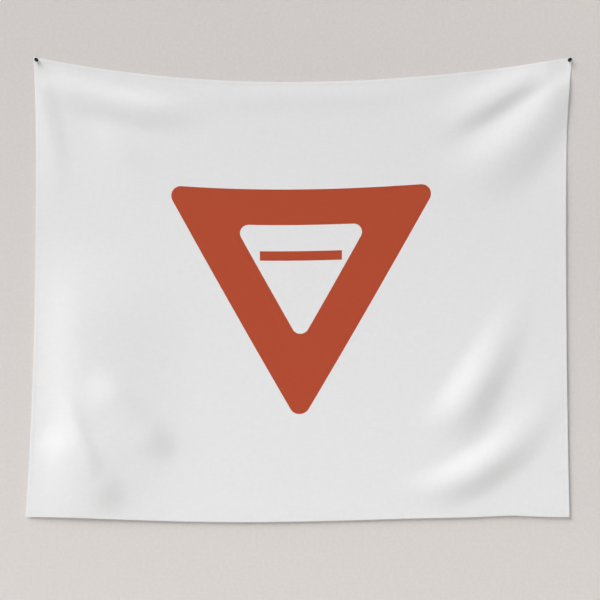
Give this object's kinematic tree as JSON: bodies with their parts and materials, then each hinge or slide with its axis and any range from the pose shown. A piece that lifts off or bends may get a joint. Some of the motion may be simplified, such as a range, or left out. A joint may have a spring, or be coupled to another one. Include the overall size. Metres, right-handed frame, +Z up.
{
  "type": "wall tapestry",
  "caption": "Printed woven wall tapestry with turned hems, hung by its top corners from push pins, with a triangular road-sign ring and a plain bar printed on it.",
  "frame": {"origin": "on the wall surface, midway between the two pins", "axes": "+X along the wall from the left pin to the right pin, +Y into the wall, +Z up"},
  "size_m": [1.5282, 0.0379, 1.3004],
  "materials": {
    "cloth": "plain-woven white polyester, matt with a soft sheen",
    "print": "rust-red dye printed into the weave",
    "thread": "spun polyester sewing thread",
    "label": "blank satin ribbon",
    "pin_plastic": "glossy moulded black plastic",
    "pin_steel": "drawn steel wire, ground to a point"
  },
  "bodies": {
    "held_corners": {"corner_left": "cloth", "corner_right": "cloth"},
    "panel": {"cloth_panel": "cloth", "hem_top": "cloth", "hem_bottom": "cloth", "hem_left": "cloth", "hem_right": "cloth", "seam_top": "thread", "seam_bottom": "thread", "seam_left": "thread", "seam_right": "thread", "print_ring": "print", "print_bar": "print", "care_label": "label"},
    "pin_left": {"pin_left_head": "pin_plastic", "pin_left_needle": "pin_steel"},
    "pin_right": {"pin_right_head": "pin_plastic", "pin_right_needle": "pin_steel"}
  },
  "joints": [
    {"name": "panel_swing", "type": "hinge", "parent": "held_corners", "child": "panel", "pos_m": [0, -0.001, 0], "axis": [-1, 0, 0], "range_deg": [0, 75]},
    {"name": "pin_left_pull", "type": "slide", "parent": "held_corners", "child": "pin_left", "axis": [0, -1, 0], "range_m": [0, 0.02]},
    {"name": "pin_right_pull", "type": "slide", "parent": "held_corners", "child": "pin_right", "axis": [0, -1, 0], "range_m": [0, 0.02]}
  ]
}
